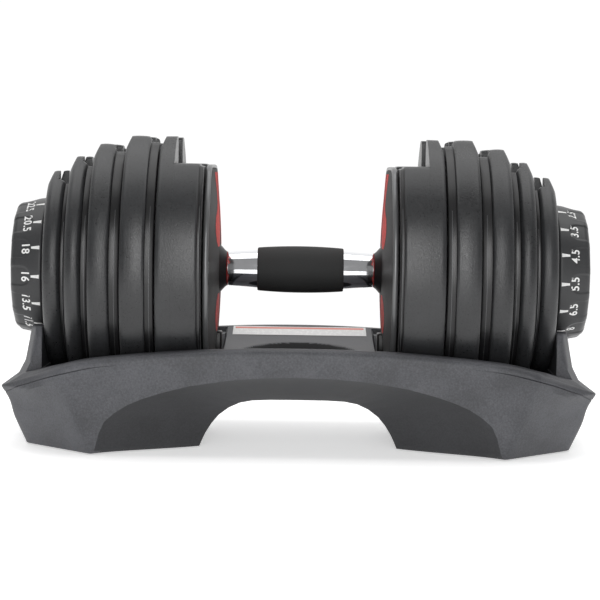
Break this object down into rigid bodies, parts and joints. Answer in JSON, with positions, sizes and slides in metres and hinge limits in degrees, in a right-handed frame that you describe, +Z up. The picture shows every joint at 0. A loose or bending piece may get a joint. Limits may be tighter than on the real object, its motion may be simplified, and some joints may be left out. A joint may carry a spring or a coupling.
{
  "type": "adjustable dumbbell",
  "caption": "Dial-set adjustable dumbbell parked in its storage tray, with plates that lift off with the handle and numbered dials at both ends.",
  "frame": {"origin": "middle of the tray's footprint, on the floor under its rubber feet", "axes": "+X along the handle towards the right dial, +Y towards the back, where the label is, +Z up"},
  "size_m": [0.426, 0.214, 0.2217],
  "materials": {
    "tray_moulding": "fine spark texture",
    "tray_lower": "fine spark texture",
    "pad_rubber": "matt",
    "screw_steel": "zinc plated",
    "label_film": "printed film",
    "chrome_tube": "polished",
    "grip_rubber": "matt, fine grain",
    "rod_steel": "drawn",
    "red_ring": "gloss",
    "hub_plastic": "satin",
    "frame_plastic": "satin black",
    "trim_print": "printed film",
    "spring_steel": "bright wire",
    "selector_plastic": "moulded nylon",
    "dial_plastic": "satin with white print",
    "cover_plastic": "satin, faint grain",
    "plate_steel": "cast and painted grey"
  },
  "bodies": {
    "tray": {"tray_base": "tray_lower", "tray_deck": "tray_moulding", "tray_screws": "screw_steel", "tray_feet": "pad_rubber", "tray_label": "label_film"},
    "handle": {"handle_tube": "chrome_tube", "grip_sleeve": "grip_rubber", "tie_rod": "rod_steel", "left_hub_ring": "red_ring", "left_hub_cone": "hub_plastic", "left_end_frame": "frame_plastic", "left_face_trim": "trim_print", "left_lock_spring": "spring_steel", "left_end_screw": "screw_steel", "right_hub_ring": "red_ring", "right_hub_cone": "hub_plastic", "right_end_frame": "frame_plastic", "right_face_trim": "trim_print", "right_lock_spring": "spring_steel", "right_end_screw": "screw_steel"},
    "left_dial_set": {"left_spindle": "selector_plastic", "left_disc_1": "selector_plastic", "left_disc_2": "selector_plastic", "left_disc_3": "selector_plastic", "left_disc_4": "selector_plastic", "left_disc_5": "selector_plastic", "left_dial": "dial_plastic", "left_dial_cap": "hub_plastic"},
    "left_lock": {"left_lock_pin": "rod_steel"},
    "left_plate_1": {"left_plate_1_cover": "cover_plastic", "left_plate_1_core": "plate_steel"},
    "left_plate_2": {"left_plate_2_cover": "cover_plastic", "left_plate_2_core": "plate_steel"},
    "left_plate_3": {"left_plate_3_cover": "cover_plastic", "left_plate_3_core": "plate_steel"},
    "left_plate_4": {"left_plate_4_cover": "cover_plastic", "left_plate_4_core": "plate_steel"},
    "left_plate_5": {"left_plate_5_cover": "cover_plastic", "left_plate_5_core": "plate_steel"},
    "right_dial_set": {"right_spindle": "selector_plastic", "right_disc_1": "selector_plastic", "right_disc_2": "selector_plastic", "right_disc_3": "selector_plastic", "right_disc_4": "selector_plastic", "right_disc_5": "selector_plastic", "right_dial": "dial_plastic", "right_dial_cap": "hub_plastic"},
    "right_lock": {"right_lock_pin": "rod_steel"},
    "right_plate_1": {"right_plate_1_cover": "cover_plastic", "right_plate_1_core": "plate_steel"},
    "right_plate_2": {"right_plate_2_cover": "cover_plastic", "right_plate_2_core": "plate_steel"},
    "right_plate_3": {"right_plate_3_cover": "cover_plastic", "right_plate_3_core": "plate_steel"},
    "right_plate_4": {"right_plate_4_cover": "cover_plastic", "right_plate_4_core": "plate_steel"},
    "right_plate_5": {"right_plate_5_cover": "cover_plastic", "right_plate_5_core": "plate_steel"}
  },
  "joints": [
    {"name": "handle_lift", "type": "slide", "parent": "tray", "child": "handle", "axis": [0, 0, 1], "range_m": [0, 0.16]},
    {"name": "left_dial_turn", "type": "hinge", "parent": "handle", "child": "left_dial_set", "pos_m": [-0.196, 0, 0.1255], "axis": [-1, 0, 0], "continuous": true},
    {"name": "left_lock_drop", "type": "slide", "parent": "handle", "child": "left_lock", "axis": [0, 0, -1], "range_m": [0, 0.004], "deforming": ["left_lock_spring"]},
    {"name": "left_plate_1_lift", "type": "slide", "parent": "tray", "child": "left_plate_1", "axis": [0, 0, 1], "range_m": [0, 0.16]},
    {"name": "left_plate_2_lift", "type": "slide", "parent": "tray", "child": "left_plate_2", "axis": [0, 0, 1], "range_m": [0, 0.16]},
    {"name": "left_plate_3_lift", "type": "slide", "parent": "tray", "child": "left_plate_3", "axis": [0, 0, 1], "range_m": [0, 0.16]},
    {"name": "left_plate_4_lift", "type": "slide", "parent": "tray", "child": "left_plate_4", "axis": [0, 0, 1], "range_m": [0, 0.16]},
    {"name": "left_plate_5_lift", "type": "slide", "parent": "tray", "child": "left_plate_5", "axis": [0, 0, 1], "range_m": [0, 0.16]},
    {"name": "right_dial_turn", "type": "hinge", "parent": "handle", "child": "right_dial_set", "pos_m": [0.196, 0, 0.1255], "axis": [1, 0, 0], "continuous": true},
    {"name": "right_lock_drop", "type": "slide", "parent": "handle", "child": "right_lock", "axis": [0, 0, -1], "range_m": [0, 0.004], "deforming": ["right_lock_spring"]},
    {"name": "right_plate_1_lift", "type": "slide", "parent": "tray", "child": "right_plate_1", "axis": [0, 0, 1], "range_m": [0, 0.16]},
    {"name": "right_plate_2_lift", "type": "slide", "parent": "tray", "child": "right_plate_2", "axis": [0, 0, 1], "range_m": [0, 0.16]},
    {"name": "right_plate_3_lift", "type": "slide", "parent": "tray", "child": "right_plate_3", "axis": [0, 0, 1], "range_m": [0, 0.16]},
    {"name": "right_plate_4_lift", "type": "slide", "parent": "tray", "child": "right_plate_4", "axis": [0, 0, 1], "range_m": [0, 0.16]},
    {"name": "right_plate_5_lift", "type": "slide", "parent": "tray", "child": "right_plate_5", "axis": [0, 0, 1], "range_m": [0, 0.16]}
  ],
  "couplings": [
    {"joint": "left_lock_drop", "follows": "handle_lift", "ratio": 0.025},
    {"joint": "left_plate_1_lift", "follows": "handle_lift", "ratio": 1},
    {"joint": "left_plate_2_lift", "follows": "handle_lift", "ratio": 1},
    {"joint": "left_plate_3_lift", "follows": "handle_lift", "ratio": 1},
    {"joint": "left_plate_4_lift", "follows": "handle_lift", "ratio": 1},
    {"joint": "left_plate_5_lift", "follows": "handle_lift", "ratio": 1},
    {"joint": "right_lock_drop", "follows": "handle_lift", "ratio": 0.025},
    {"joint": "right_plate_1_lift", "follows": "handle_lift", "ratio": 1},
    {"joint": "right_plate_2_lift", "follows": "handle_lift", "ratio": 1},
    {"joint": "right_plate_3_lift", "follows": "handle_lift", "ratio": 1},
    {"joint": "right_plate_4_lift", "follows": "handle_lift", "ratio": 1},
    {"joint": "right_plate_5_lift", "follows": "handle_lift", "ratio": 1}
  ]
}
